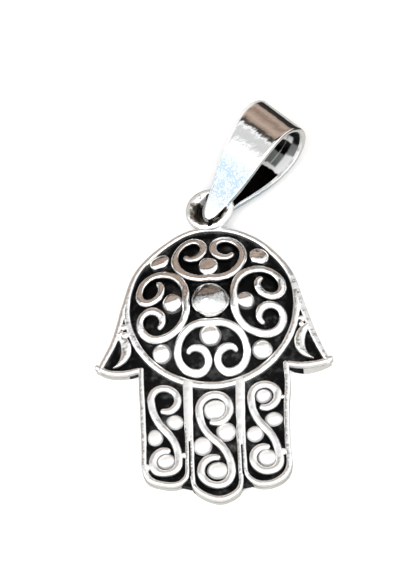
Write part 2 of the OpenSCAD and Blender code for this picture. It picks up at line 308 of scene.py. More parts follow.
# %% Sizes of the hand, in millimetres
PALM_R = 6.68
RING_W = 0.5
RING_IN = PALM_R - RING_W
PLATE_T = 0.55
RIM_W = 0.42
SEAM_W = 0.35
WIRE_W = 0.62
HAND_W = 11.4
MIDDLE_W = 4.0
SIDE_DROP = 14.65
MIDDLE_DROP = 15.7
DOME_RISE = 1.75
DISH_WALL = 0.7

DOME_R = (RING_IN**2 + DOME_RISE**2) / (2 * DOME_RISE)
DOME_Z = PLATE_T + DOME_RISE - DOME_R
print("the dome is part of a ball of", round(DOME_R, 1), "mm radius")


def web_z(x, y):
    """Height of the domed ground inside the palm, and of the flat plate outside it."""
    square = x * x + y * y
    if square >= RING_IN**2:
        return PLATE_T
    return DOME_Z + math.sqrt(DOME_R**2 - square)


# %% Walking along steps
def moved(spot, step, part=1.0):
    """The spot after a part of a step."""
    x, y, heading = spot
    radius, turn = step
    h = math.radians(heading)
    if turn == 0:
        return (x + radius * part * math.cos(h), y + radius * part * math.sin(h), heading)
    side = math.copysign(1.0, turn)
    after = h + math.radians(turn * part)
    return (
        x + side * radius * (math.sin(after) - math.sin(h)),
        y + side * radius * (math.cos(h) - math.cos(after)),
        heading + turn * part,
    )


def walked(spot, steps):
    """The spot at the end of all the steps."""
    for step in steps:
        spot = moved(spot, step)
    return spot


def beside(spot, distance):
    """The spot moved sideways: a positive distance goes to its left."""
    x, y, heading = spot
    h = math.radians(heading)
    return (x - distance * math.sin(h), y + distance * math.cos(h), heading)


def centre_of(spot, step, z=0.0):
    """The middle of an arc that starts at a spot."""
    x, y, _ = beside(spot, math.copysign(*step))
    return (x, y, z)


def length_of(step):
    """Length of a step along its middle."""
    radius, turn = step
    return abs(radius) if turn == 0 else abs(radius * math.radians(turn))


# %% [markdown]
# ## Drawing a wire
#
# A wire is a section that is spun along its arcs. Its section starts from a
# few points, flat at the foot and round on top. Spin turns the ring of points
# about the arc's centre and leaves a row of faces behind. At both ends half of
# the ring is spun about its own middle, which makes the round end. A curve
# with a bevel would be quicker, but its section can't be flat at the foot and
# its points can't carry numbers of their own.
#
# Each point remembers how high it lies above the ground. The finish reads that
# number later: low points stay black, and high ones are rubbed bright.

# %% Section of a wire
CROWN_POINTS = 6
ROUNDNESS = 2.3
FOOT_DROP = 0.12
FOOT_W = 0.94


def add_ring(bm, spot, width, crown, top):
    """A closed ring of edges: the wire's section at a spot."""
    x, y, heading = spot
    h = math.radians(heading)
    across = Vector((-math.sin(h), math.cos(h), 0))
    foot = PLATE_T - FOOT_DROP
    half = [(0.0, foot), (FOOT_W, foot)]
    for i in range(CROWN_POINTS + 1):
        t = math.radians(90 * i / CROWN_POINTS)
        reach = math.cos(t) ** (2 / ROUNDNESS) if i < CROWN_POINTS else 0.0
        rise = math.sin(t) ** (2 / ROUNDNESS)
        half.append((reach, top - crown * (1 - rise)))
    points = half + [(-a, z) for a, z in reversed(half[1:-1])]
    verts = [bm.verts.new(Vector((x, y, z)) + across * (a * width / 2)) for a, z in points]
    edges = [bm.edges.new((verts[i - 1], verts[i])) for i in range(len(verts))]
    return verts, edges


# %% Ends and tapers of a wire
ROUND_END_STEPS = 8


def split(geometry):
    """The vertices and the edges of an operator's result."""
    verts = [g for g in geometry if isinstance(g, bmesh.types.BMVert)]
    edges = [g for g in geometry if isinstance(g, bmesh.types.BMEdge)]
    return verts, edges


def sideways(spot, co):
    """How far a point lies to the left of a spot."""
    h = math.radians(spot[2])
    return (co.y - spot[1]) * math.cos(h) - (co.x - spot[0]) * math.sin(h)


def cap_wire(bm, ring, spot, angle):
    """Closes a wire's end by spinning half of its ring about its own middle."""
    verts, edges = ring
    half = [v for v in verts if sideways(spot, v.co) < 1e-5]
    half_edges = [e for e in edges if e.verts[0] in half and e.verts[1] in half]
    bmesh.ops.spin(
        bm,
        geom=half + half_edges,
        cent=(spot[0], spot[1], 0),
        axis=(0, 0, 1),
        angle=math.radians(angle),
        steps=ROUND_END_STEPS,
    )


def narrow(bm, rings, width, taper):
    """Narrows a wire's rings and its round ends by the taper."""
    ringed = {v for verts, _, _ in rings for v in verts}
    for end, share in ((rings[0][1], 0.0), (rings[-1][1], 1.0)):
        middle = Vector(end[:2])
        for v in bm.verts:
            if v.is_valid and v not in ringed and (v.co.xy - middle).length < width * 0.52:
                v.co.xy = middle + (v.co.xy - middle) * taper(share)
    for verts, here, share in rings:
        h = math.radians(here[2])
        across = Vector((-math.sin(h), math.cos(h), 0))
        for v in verts:
            v.co += across * sideways(here, v.co) * (taper(share) - 1)


# %% Lay a wire along steps
# Degrees and millimetres between two rings, and how near two points are one
TURN_STEP = 7.5
STRAIGHT_STEP = 0.45
WELD = 1e-4


def lay_wire(bm, spot, steps, width, top=RIM_H, crown=0.3, taper=None):
    """Lays a wire along the steps. taper(share) gives its width as a share along its length."""
    whole = sum(length_of(step) for step in steps)
    done = 0.0
    ring = add_ring(bm, spot, width, crown, top)
    rings = [(ring[0], spot, 0.0)]
    cap_wire(bm, ring, spot, -180)
    for step in steps:
        radius, turn = step
        pace = TURN_STEP if turn else STRAIGHT_STEP
        count = max(1, math.ceil((abs(turn) if turn else radius) / pace))
        h = math.radians(spot[2])
        for i in range(count):
            if turn:
                result = bmesh.ops.spin(
                    bm,
                    geom=ring[0] + ring[1],
                    cent=centre_of(spot, step),
                    axis=(0, 0, 1),
                    angle=math.radians(turn / count),
                    steps=1,
                )
                ring = split(result["geom_last"])
            else:
                ring = split(bmesh.ops.extrude_edge_only(bm, edges=ring[1])["geom"])
                ring = (ring[0], [e for e in ring[1] if all(v in ring[0] for v in e.verts)])
                stretch = Vector((math.cos(h), math.sin(h), 0)) * radius / count
                bmesh.ops.translate(bm, verts=ring[0], vec=stretch)
            here = moved(spot, step, (i + 1) / count)
            share = (done + length_of(step) * (i + 1) / count) / whole
            rings.append((ring[0], here, share))
        done += length_of(step)
        spot = moved(spot, step)
    cap_wire(bm, ring, spot, 180)
    if taper:
        narrow(bm, rings, width, taper)
    bmesh.ops.remove_doubles(bm, verts=bm.verts[:], dist=WELD)


# %% [markdown]
# ## Hand-made wobble
#
# Cast and soldered silver is never quite straight. One smooth noise field
# shifts every point of the hand, so that neighbours shift together and
# nothing comes apart. A list of soft bends does the same on purpose, where the
# photograph shows that an edge or a divider is off true.

# %% Bends and wobble
# Lumps to a millimetre and shift in millimetres
WOBBLES = [(0.38, 0.055), (1.1, 0.022)]

# x, y, reach, shift in x, shift in y
BENDS = [
    (1.5, -12.5, 5.0, -0.14, 0.0),
    (-4.0, -14.6, 2.2, -0.05, 0.28),
    (-3.9, -9.5, 2.6, 0.02, 0.14),
    (-8.6, -3.2, 2.2, -0.03, 0.12),
    (-4.0, 5.4, 2.3, 0.16, -0.25),
    (-6.3, 2.6, 2.0, 0.07, -0.02),
    (4.8, -9.8, 3.4, -0.09, 0.02),
    (-5.2, -6.6, 2.2, -0.02, 0.09),
    (-9.2, -4.8, 0.9, 0.32, 0.04),
    (9.2, -4.8, 1.0, -0.24, -0.18),
    (8.1, 2.4, 2.4, 0.34, 0.06),
    (8.7, -1.6, 2.0, 0.3, 0.0),
    (6.3, -6.4, 1.4, 0.14, 0.0),
    (0.1, -15.4, 1.6, 0.09, 0.0),
    (-5.4, -13.8, 1.0, -0.06, -0.2),
    (5.4, -13.9, 1.2, 0.13, -0.12),
    (-1.3, -15.3, 1.0, 0.0, 0.1),
]
print(len(BENDS), "bends on purpose")


def wobbled(co, strength=1.0):
    """A point after the hand-made bends and wobble."""
    shift = Vector((0, 0, 0))
    for x, y, reach, dx, dy in BENDS:
        near = math.exp(-((co.x - x) ** 2 + (co.y - y) ** 2) / reach**2)
        shift += Vector((dx, dy, 0)) * near
    for frequency, amount in WOBBLES:
        drift = noise.noise_vector(Vector((co.x, co.y, 3.7)) * frequency)
        shift += Vector((drift.x, drift.y, drift.z * 0.35)) * amount
    return co + shift * strength


# %% Finish a piece
# Edges sharper than this angle stay sharp, and points lower than this stay on the table
SHARP = math.radians(38)
TABLE_CLEARANCE = 0.02


def finish_piece(name, bm, material, ground=PLATE_T, top=RIM_H, wobble=1.0, drape=False):
    """Turns a bmesh in millimetres into a finished piece in metres that rides on the body.

    Each point carries its lift, 0 at the ground and 1 at the top, for the finish to read.
    """
    lift = bm.verts.layers.float.new("lift")
    for v in bm.verts:
        v[lift] = (v.co.z - ground) / (top - ground)
        if drape:
            v.co.z += web_z(v.co.x, v.co.y) - PLATE_T
        if wobble:
            moved_to = wobbled(v.co, wobble)
            if v.co.z <= TABLE_CLEARANCE:
                moved_to.z = v.co.z
            v.co = moved_to
    bmesh.ops.dissolve_degenerate(bm, dist=1e-5, edges=bm.edges[:])
    bmesh.ops.recalc_face_normals(bm, faces=bm.faces[:])
    bmesh.ops.scale(bm, vec=(MM, MM, MM), verts=bm.verts[:])
    mesh = bpy.data.meshes.new(name)
    bm.to_mesh(mesh)
    bm.free()
    mesh.shade_smooth()
    mesh.set_sharp_from_angle(angle=SHARP)
    mesh.materials.append(material)
    piece = bpy.data.objects.new(name, mesh)
    scene.collection.objects.link(piece)
    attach(piece, "root")
    print(name, "has", len(mesh.polygons), "faces")
    return piece


# %% [markdown]
# ## Worn silver
#
# The maker blackens the whole hand in a bath and then polishes it. The cloth
# reaches the tops of the wires and not their feet. A painted picture could
# hold that, but it needs unwrapping. So one finish fades from black sulphide
# to bright silver by each point's lift, broken up by noise. Towards the
# fingers the polish is frosted by small scratches, so it mirrors less.

# %% What every finish starts from
BLACK = (0.012, 0.011, 0.011, 1)
SILVER = (0.93, 0.925, 0.915, 1)


def new_material(name):
    """A metal material, and what its nodes start from."""
    material = bpy.data.materials.new(name)
    material.use_nodes = True
    tree = material.node_tree
    shader = tree.nodes["Principled BSDF"]
    shader.inputs["Metallic"].default_value = 1.0
    place = add_node(tree, "ShaderNodeTexCoord").outputs["Object"]
    return material, tree, shader, place


def noise_node(tree, place, per_mm, detail=3.0, roughness=0.55):
    """Noise with a number of lumps to a millimetre."""
    return add_node(
        tree,
        "ShaderNodeTexNoise",
        {"Vector": place, "Scale": per_mm * 1000, "Detail": detail, "Roughness": roughness},
    ).outputs["Fac"]


def bump_node(tree, heights, depth, before=None):
    """A bump of a depth in millimetres, on top of another one if that is given."""
    inputs = {"Height": heights, "Distance": depth * MM, "Strength": 1.0}
    if before is not None:
        inputs["Normal"] = before
    return add_node(tree, "ShaderNodeBump", inputs).outputs["Normal"]


def attribute(tree, name):
    """A number that each point of a mesh carries."""
    return add_node(tree, "ShaderNodeAttribute", attribute_name=name).outputs["Fac"]


# %% Worn silver for wires, rims, solder and granules
# Noise shakes the limit of the rubbed part by this much of the lift
RUB = 0.12
# The frosting ends between these two places
FROSTED_AT = -7 * MM
SHINY_AT = 1 * MM


def worn_silver(name, low, high, dull=0.1, frost=0.75, shine=1.0):
    """Black below the lift low and bright above high, mirroring less at the fingers."""
    material, tree, shader, place = new_material(name)
    patches = noise_node(tree, place, 1.3)
    shaken = math_node(tree, "MULTIPLY_ADD", patches, RUB * 2, attribute(tree, "lift"))
    rubbed = map_range(tree, shaken, low + RUB, high + RUB, curve="SMOOTHSTEP")
    matt = map_range(tree, rubbed, 0.0, 1.0, 0.5, dull)
    dents = bump_node(tree, noise_node(tree, place, 1.6, 2.0), 0.05)
    northing = part_of(tree, place, "Y")
    fill_sockets(
        tree,
        shader,
        {
            "Base Color": mix_colours(tree, rubbed, BLACK, SILVER),
            "Roughness": math_node(tree, "MULTIPLY_ADD", noise_node(tree, place, 5.0), 0.1, matt),
            "Metallic": map_range(tree, northing, FROSTED_AT, SHINY_AT, frost, shine),
            "Normal": bump_node(tree, noise_node(tree, place, 9.0, 2.0), 0.006, before=dents),
        },
    )
    print(name, "is made of", len(tree.nodes), "nodes")
    return material


wire_silver = worn_silver("worn silver wire", 0.36, 0.76, frost=0.72)
rim_silver = worn_silver("worn silver rim", -1.6, -0.9, frost=0.8, shine=0.88)
solder_silver = worn_silver("bright solder", -1.6, -0.9, frost=0.5, shine=0.7)
bead_silver = worn_silver("worn silver granule", 0.12, 0.42, frost=0.3)
side_silver = worn_silver("worn silver side and back", -3.0, -2.5, dull=0.42, frost=1.0)

# %% [markdown]
# ## The dome and the ground
#
# The large dome is polished, and grey spots are painted into the colour of its upper half: a
# painted reflection of the greyer sky that half faces. The ground stays as black as it came from
# the bath, with a few grey smears where the cloth touched it. Both are noise put through a colour
# ramp: the ramp's stops say how much of the surface each tone gets.

# %% Mottled silver for the large dome
# Tones of the grey spots painted on the dome's upper half: a painted reflection of the greyer sky
# that half faces
REFLECTION_SPOTS = [(0.3, 0.8), (0.42, 0.4), (0.5, 0.6), (0.6, 0.28), (0.7, 0.7)]
boss_silver, tree, shader, place = new_material("mottled silver dome")
upper = map_range(tree, part_of(tree, place, "Y"), -0.0007, -0.0003)
grey_reflection_spots = add_ramp(tree, noise_node(tree, place, 2.4, 3.0, 0.6), REFLECTION_SPOTS)
fill_sockets(
    tree,
    shader,
    {
        "Base Color": mix_colours(tree, upper, SILVER, grey_reflection_spots),
        "Roughness": 0.14,
        "Normal": bump_node(tree, noise_node(tree, place, 1.8, 3.0), 0.04),
    },
)
print(boss_silver.name, "is made of", len(tree.nodes), "nodes")

# %% Blackened ground
# This black is the ground's own sulphide, and it also serves as painted shade on the seam wires,
# the notch wedges, the loop's gap and the shaded corners of the walls
SMEARS = [(0.0, 0.003), (0.5, 0.008), (0.58, 0.03), (0.66, 0.06), (0.78, 0.2)]
patina_and_shade_black, tree, shader, place = new_material("blackened ground and painted shade")
fill_sockets(
    tree,
    shader,
    {
        "Base Color": add_ramp(tree, noise_node(tree, place, 0.9, 4.0, 0.6), SMEARS),
        "Roughness": math_node(tree, "MULTIPLY_ADD", noise_node(tree, place, 3.0), 0.3, 0.3),
        "Normal": bump_node(tree, noise_node(tree, place, 2.2, 4.0), 0.08),
    },
)
print(patina_and_shade_black.name, "is made of", len(tree.nodes), "nodes")

# %% [markdown]
# ## Finishes of the loop and the bail
#
# The bail was never blackened. It is bright, with bluish marks left from drawing and folding the
# strap. Its inside is sooty, because no cloth reaches it, and bands of the room's reflection are
# painted into its colour there. Near its left edge the strap is made almost non-metallic, which
# paints a white highlight along that edge. The inside of the loop gets painted shade. A picture
# wrapped round the strap could hold the marks. Here the points of the strap carry their place along
# it and across it, which is less work and follows the bend just as well.

# %% Bright strap silver
BLUISH = (0.5, 0.65, 0.77, 1)
MARKED_PART = [(0.02, 0.0), (0.2, 1.0), (0.42, 1.0), (0.58, 0.0)]
MARKS = [(0.38, 0.05), (0.45, 1.0), (0.5, 0.9), (0.54, 0.1), (0.6, 0.85), (0.68, 0.1)]
strap_silver, tree, shader, place = new_material("bright strap silver")
marked = add_ramp(tree, attribute(tree, "along"), MARKED_PART)
marks = add_ramp(tree, noise_node(tree, place, 1.5, 3.0, 0.65), MARKS)
blue_share = math_node(tree, "MULTIPLY", marked, marks)
# Near its left edge the strap is made almost non-metallic, so it shows white there: a painted
# highlight along that edge
from_left = math_node(tree, "MULTIPLY_ADD", attribute(tree, "across"), 0.5, 0.5)
fill_sockets(
    tree,
    shader,
    {
        "Base Color": mix_colours(tree, blue_share, SILVER, BLUISH),
        "Metallic": add_ramp(tree, from_left, [(0.05, 0.2), (0.09, 1.0)]),
        "Roughness": math_node(tree, "MULTIPLY_ADD", noise_node(tree, place, 2.0), 0.1, 0.05),
        "Normal": bump_node(tree, noise_node(tree, place, 1.1, 3.0), 0.02),
    },
)
print(strap_silver.name, "is made of", len(tree.nodes), "nodes")

# %% Loop silver, with painted shade on the inside of the ring and a painted highlight at its upper left
# From bright silver on the outside to painted shade on the inside: brown, then dark, then black
LOOP_SHADE_TONES = [
    (0.45, SILVER[:3]), (0.62, (0.3, 0.27, 0.22)), (0.85, (0.1, 0.09, 0.07)),
    (1.0, (0.015, 0.013, 0.012)),
]
loop_silver, tree, shader, place = new_material("loop silver")
inward = math_node(tree, "SUBTRACT", attribute(tree, "inner"), 0.4)
inward_shade = math_node(tree, "MULTIPLY_ADD", noise_node(tree, place, 2.2, 3.0), 1.8, inward)
fill_sockets(
    tree,
    shader,
    {
        "Base Color": add_ramp(tree, inward_shade, LOOP_SHADE_TONES),
        "Metallic": 0.6,
        "Roughness": 0.16,
        "Normal": bump_node(tree, noise_node(tree, place, 1.8, 3.0), 0.05),
    },
)
print(loop_silver.name, "is made of", len(tree.nodes), "nodes")

# %% Inside of the strap, which no cloth reaches, with painted bands of reflection
# Painted bands of reflection along the strap, on its left and on its right, and which part of it is
# the right
SOOT = (0.012, 0.01, 0.009)
LEFT_PAINTED_REFLECTIONS = [
    (0.605, SOOT), (0.615, 0.9), (0.64, 0.85), (0.65, (0.15, 0.17, 0.16)),
    (0.75, (0.2, 0.22, 0.21)), (0.765, 0.02), (0.86, 0.015), (0.87, 0.9), (0.895, 0.8),
    (0.91, 0.01),
]
RIGHT_PAINTED_REFLECTIONS = [(0.605, SOOT), (0.615, 0.95), (0.77, 0.9), (0.79, 0.25), (0.86, 0.2), (0.88, 0.02)]
RIGHT_PART = [(0.24, 0.0), (0.28, 0.5), (0.32, 0.0), (0.5, 0.0), (0.58, 1.0)]
strap_inside, tree, shader, place = new_material("dark inside of the strap")
shift = math_node(tree, "MULTIPLY_ADD", noise_node(tree, place, 1.6), 0.05, -0.025)
shaken = math_node(tree, "ADD", attribute(tree, "along"), shift)
on_right = add_ramp(tree, attribute(tree, "across"), RIGHT_PART)
left = add_ramp(tree, shaken, LEFT_PAINTED_REFLECTIONS)
right = add_ramp(tree, shaken, RIGHT_PAINTED_REFLECTIONS)
# Sooty black with light bands that are painted reflections of the room
soot_and_painted_reflections = mix_colours(tree, on_right, left, right)
fill_sockets(
    tree,
    shader,
    {
        "Base Color": soot_and_painted_reflections,
        "Metallic": add_ramp(tree, soot_and_painted_reflections, [(0.03, 1.0), (0.12, 0.0)]),
        "Roughness": 0.22,
    },
)
print(strap_inside.name, "is made of", len(tree.nodes), "nodes")

# %% Rubbed edge of the strap
strap_edge, tree, shader, place = new_material("rubbed edge of the strap")
edge_tones = add_ramp(tree, noise_node(tree, place, 1.5), [(0.35, 0.6), (0.6, 0.95)])
fill_sockets(tree, shader, {"Base Color": edge_tones, "Metallic": 0.15, "Roughness": 0.3})
print(strap_edge.name, "is made of", len(tree.nodes), "nodes")

# %% [markdown]
# ## The ground
#
# The ground is one closed shell: a plate cut to the outline of the hand, domed
# inside the palm, with the matching dish in its back. A plate with a dome laid
# on it would be less work, but its back would be flat and it would not be one
# skin. The right half of the outline is traced by spinning a single vertex
# along the steps, then mirrored. A fill closes the plate round the palm, and
# arcs spun about the palm's middle make the dome and the dish.

# %% Steps of the outline
THUMB_LEAN = 16.0
SIDE_STEPS = [(4.0, 0), (6.2, 30.0)]
THUMB_SAG = 0.35
SIDE_CORNER_R = 2.25

top_start = (0, PALM_R, 0)
ROUND_PALM = (PALM_R, THUMB_LEAN - 90)
side_start = moved(top_start, ROUND_PALM)
thumb_tip = walked(side_start, SIDE_STEPS)
edge_dx = thumb_tip[0] - HAND_W / 2
edge_chord = math.hypot(edge_dx, THUMB_SAG)
edge_turn = 4 * math.degrees(math.atan(2 * THUMB_SAG / edge_chord))
edge_heading = 180 + math.degrees(math.atan(THUMB_SAG / edge_dx)) + edge_turn / 2
edge_step = (edge_chord / (2 * math.sin(math.radians(edge_turn / 2))), -edge_turn)
edge_start = (thumb_tip[0], thumb_tip[1], edge_heading)
edge_end = walked(edge_start, [edge_step])
inner_r = HAND_W / 2 - MIDDLE_W / 2 - SIDE_CORNER_R
CORNER_TURN = 50.0
MIDDLE_CORNER_R = 0.7 * MIDDLE_W / 2
print("thumbs reach to x =", round(thumb_tip[0], 2), "and y =", round(thumb_tip[1], 2))


def middle_end(half_w, corner_r):
    """Steps round the end of the middle finger, and how far they drop."""
    t = math.radians(CORNER_TURN)
    end_r = (half_w - corner_r * (1 - math.cos(t))) / math.cos(t)
    drop = corner_r * math.sin(t) + end_r * (1 - math.sin(t))
    corner = (corner_r, -CORNER_TURN)
    return [corner, (end_r, -(180 - 2 * CORNER_TURN)), corner], drop


# %% Trace an outline
OUTLINE_TURN = 5


def trace(bm, vert, spot, steps):
    """Spins a vertex along the steps and returns the last vertex and spot."""
    for step in steps:
        radius, turn = step
        h = math.radians(spot[2])
        if turn:
            result = bmesh.ops.spin(
                bm,
                geom=[vert],
                cent=centre_of(spot, step, vert.co.z),
                axis=(0, 0, 1),
                angle=math.radians(turn),
                steps=max(1, math.ceil(abs(turn) / OUTLINE_TURN)),
            )
            vert = split(result["geom_last"])[0][0]
        else:
            count = max(1, round(radius / STRAIGHT_STEP))
            for _ in range(count):
                vert = split(bmesh.ops.extrude_vert_indiv(bm, verts=[vert])["verts"])[0][0]
                vert.co += Vector((math.cos(h), math.sin(h), 0)) * radius / count
        spot = moved(spot, step)
    return vert, spot


# %% Ground plate
(corner_step, (end_r, end_turn), _), middle_depth = middle_end(MIDDLE_W / 2, MIDDLE_CORNER_R)

bm = bmesh.new()
vert = bm.verts.new((0, PALM_R, 0))
vert, spot = trace(bm, vert, top_start, [ROUND_PALM, *SIDE_STEPS])
vert, spot = trace(bm, vert, (spot[0], spot[1], edge_heading), [edge_step])
down = SIDE_DROP - SIDE_CORNER_R + spot[1]
side_finger = [(down, 0), (SIDE_CORNER_R, -90), (inner_r, -90)]
vert, spot = trace(bm, vert, (spot[0], spot[1], -90), side_finger)
back_down = MIDDLE_DROP - middle_depth + spot[1]
middle_finger = [(back_down, 0), corner_step, (end_r, end_turn / 2)]
vert, spot = trace(bm, vert, (spot[0], spot[1], -90), middle_finger)
bmesh.ops.mirror(bm, geom=bm.verts[:] + bm.edges[:], axis="X", merge_dist=-1)
bmesh.ops.remove_doubles(bm, verts=bm.verts[:], dist=0.01)
lower = bm.edges[:]
upper = split(bmesh.ops.extrude_edge_only(bm, edges=lower)["geom"])
bmesh.ops.translate(bm, verts=upper[0], vec=(0, 0, PLATE_T))
print("the outline has", len(lower), "edges")


# %% Dome and dish
def spin_full(bm, geom, steps):
    """Spins a profile a full turn round the Z axis and merges its ends and its pole."""
    bmesh.ops.spin(
        bm,
        geom=geom,
        cent=(0, 0, 0),
        axis=(0, 0, 1),
        angle=2 * math.pi,
        steps=steps,
        use_merge=True,
    )
    bmesh.ops.remove_doubles(bm, verts=bm.verts[:], dist=WELD)


def chain_from(vert):
    """The points of a loose chain of edges, walked from one end of it."""
    chain = []
    while vert is not None:
        chain.append(vert)
        others = [e.other_vert(vert) for e in vert.link_edges if not e.link_faces]
        vert = next((v for v in others if v not in chain), None)
    return chain


DISH_R = math.sqrt((DOME_R - DISH_WALL) ** 2 - DOME_Z**2)
SEGMENTS = 96
ARC_STEPS = 16
for radius, height in ((RING_IN, PLATE_T), (DISH_R, 0.0)):
    start = bm.verts.new((radius, 0, height))
    bmesh.ops.spin(
        bm,
        geom=[start],
        cent=(0, 0, DOME_Z),
        axis=(0, -1, 0),
        angle=math.pi / 2 - math.atan2(height - DOME_Z, radius),
        steps=ARC_STEPS,
    )
    chain = chain_from(start)
    spin_full(bm, chain + [e for e in bm.edges if all(v in chain for v in e.verts)], SEGMENTS)
    rims = [
        e
        for e in bm.edges
        if len(e.link_faces) == 1 and all(abs(v.co.z - height) < WELD for v in e.verts)
    ]
    bmesh.ops.triangle_fill(bm, edges=rims, use_beauty=True)
print("open edges of the ground:", sum(not e.is_manifold for e in bm.edges))

# %% Finish the ground
# The right thumb's lower wall slopes outward at its foot, most of all here
SLOPE_AT = Vector((7.3, -5.2))
SLOPE_REACH = 1.6
SLOPE = 0.26
for v in bm.verts:
    if v.co.z < 0.01 and v.co.xy.length > PALM_R + 1:
        v.co.y -= SLOPE * math.exp(-(((v.co.xy - SLOPE_AT).length / SLOPE_REACH) ** 2))
ground = finish_piece("ground", bm, patina_and_shade_black)
ground.data.materials.append(side_silver)
# The walls are rubbed bright, but walls facing south in the corners between the fingers and under
# the thumbs keep the black finish as painted shade
PAINTED_SHADE_CORNERS = [(-2.0, -13.8, 0.9), (2.0, -13.8, 0.9), (-5.75, -5.5, 0.7), (5.75, -5.5, 0.9)]
for face in ground.data.polygons:
    at = face.center / MM
    in_shaded_corner = any(math.hypot(at.x - x, at.y - y) < reach for x, y, reach in PAINTED_SHADE_CORNERS)
    if face.normal.z < 0.5 and not (in_shaded_corner and face.normal.y < -0.2):
        face.material_index = 1
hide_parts("hamsa")

# %% [markdown]
# ## Rims and finger frames
#
# A ring of wire goes round the palm. On each side a wire leaves it as a
# tangent and flares to the thumb's tip, another comes back under the thumb,
# and one more goes round the finger. Their outer sides are flush with the
# plate's edge, and their feet are sunk into the plate. The ring is a spun
# section, and the others are wires led along the same steps as the outline.

# %% Ring round the palm
RING_CROWN = 0.2
RING_STEPS = 120
RING_THINNING = 0.22
bm = bmesh.new()
ring = add_ring(bm, (0, -PALM_R + RING_W / 2, 0), RING_W, RING_CROWN, RIM_H)
spin_full(bm, ring[0] + ring[1], RING_STEPS)
# Thinner towards the loop and thicker towards the fingers, all on the inside
for v in bm.verts:
    reach = v.co.xy.length
    thinner = 1 - RING_THINNING * v.co.y / reach
    v.co.xy *= (PALM_R - (PALM_R - reach) * thinner) / reach
palm_ring = finish_piece("palm_ring", bm, rim_silver)
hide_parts("hamsa")


# %% Rims of the thumbs
def mirrored(bm):
    """Adds the mirror image across the hand's middle."""
    bmesh.ops.mirror(bm, geom=bm.verts[:] + bm.edges[:] + bm.faces[:], axis="X", merge_dist=-1)


RIM_CROWN = 0.17
# The rim's arc stops this many degrees before the thumb's tip
TIP_TURN = 1.5
RING_OVERLAP = 0.3
rim = {"top": RIM_H, "crown": RIM_CROWN}

bm = bmesh.new()
inset = RIM_W / 2
flare = [SIDE_STEPS[0], (SIDE_STEPS[1][0] + inset, SIDE_STEPS[1][1] - TIP_TURN)]
lay_wire(bm, beside(side_start, -inset), flare, RIM_W, **rim)
thumb_edge = (edge_step[0] - inset, edge_step[1])
lay_wire(bm, beside(edge_start, -inset), [thumb_edge], RIM_W, **rim)
mirrored(bm)
thumb_rims = finish_piece("thumb_rims", bm, rim_silver)
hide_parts("hamsa")

# %% Frames of the side fingers
NARROW_OVER = 0.08
bm = bmesh.new()
seam_inset = SEAM_W / 2
frame_start = (HAND_W / 2 - inset, edge_end[1] + inset, -90)
corner_r = SIDE_CORNER_R - inset
return_r = HAND_W / 2 - SIDE_CORNER_R - MIDDLE_W / 2 - seam_inset
down = SIDE_DROP - SIDE_CORNER_R + frame_start[1]
palm_y = math.sqrt(PALM_R**2 - (MIDDLE_W / 2) ** 2)
up = SIDE_DROP - inset - return_r - palm_y + RING_OVERLAP
frame_steps = [(down, 0), (corner_r, -90), (return_r, -90), (up, 0)]
turn_share = 1 - (up + length_of(frame_steps[2])) / sum(length_of(s) for s in frame_steps)


def narrowing(share):
    """The frame's wire is full to the finger's end and thinner along the seam."""
    late = min(1.0, max(0.0, (share - turn_share) / NARROW_OVER))
    return 1 + (SEAM_W / RIM_W - 1) * late


lay_wire(bm, frame_start, frame_steps, RIM_W, taper=narrowing, **rim)
mirrored(bm)
side_frames = finish_piece("side_finger_frames", bm, rim_silver)
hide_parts("hamsa")

# %% Frame of the middle finger
WIDEN_OVER = 0.04
FRAME_CORNER_R = 1.2
bm = bmesh.new()
end_steps, end_drop = middle_end(MIDDLE_W / 2 - seam_inset, FRAME_CORNER_R)
top_y = -palm_y + RING_OVERLAP
down = MIDDLE_DROP - inset - end_drop + top_y
middle_steps = [(down, 0), *end_steps, (down, 0)]
straight_share = down / sum(length_of(s) for s in middle_steps)


def widening(share):
    """The frame's wire is thin along both seams and full round the end."""
    near = min(share, 1 - share) - straight_share
    return SEAM_W / RIM_W + (1 - SEAM_W / RIM_W) * min(1.0, max(0.0, near / WIDEN_OVER))


lay_wire(bm, (MIDDLE_W / 2 - seam_inset, top_y, -90), middle_steps, RIM_W, taper=widening, **rim)
middle_frame = finish_piece("middle_finger_frame", bm, rim_silver)
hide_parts("hamsa")

# %% [markdown]
# ## Solder and painted shade
#
# The frames stand side by side with a narrow seam between them. Near the palm the seam is flooded
# with solder. Further down it is open, and its shade is painted by a black wire. Both are wires of
# their own laid into the seam. The notches between the fingers' ends get black wedges of painted
# shade, and where wires meet there are small lumps of solder, which are balls made uneven by noise.


# %% Solder that fills the upper part of both seams
def running_out(share):
    """The solder fills the first half of its length and then runs out to a fifth."""
    return 1.0 - 0.8 * max(0.0, share - 0.55) / 0.45


SEAM_SOLDER = {"width": 0.72, "top": RIM_H + 0.06, "crown": 0.12, "taper": running_out}
bm = bmesh.new()
for x, length in ((-MIDDLE_W / 2, 4.6), (MIDDLE_W / 2, 5.0)):
    lay_wire(bm, (x, -palm_y + 0.2, -90), [(length, 0)], **SEAM_SOLDER)
seam_solder = finish_piece("seam_solder", bm, solder_silver)
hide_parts("hamsa")

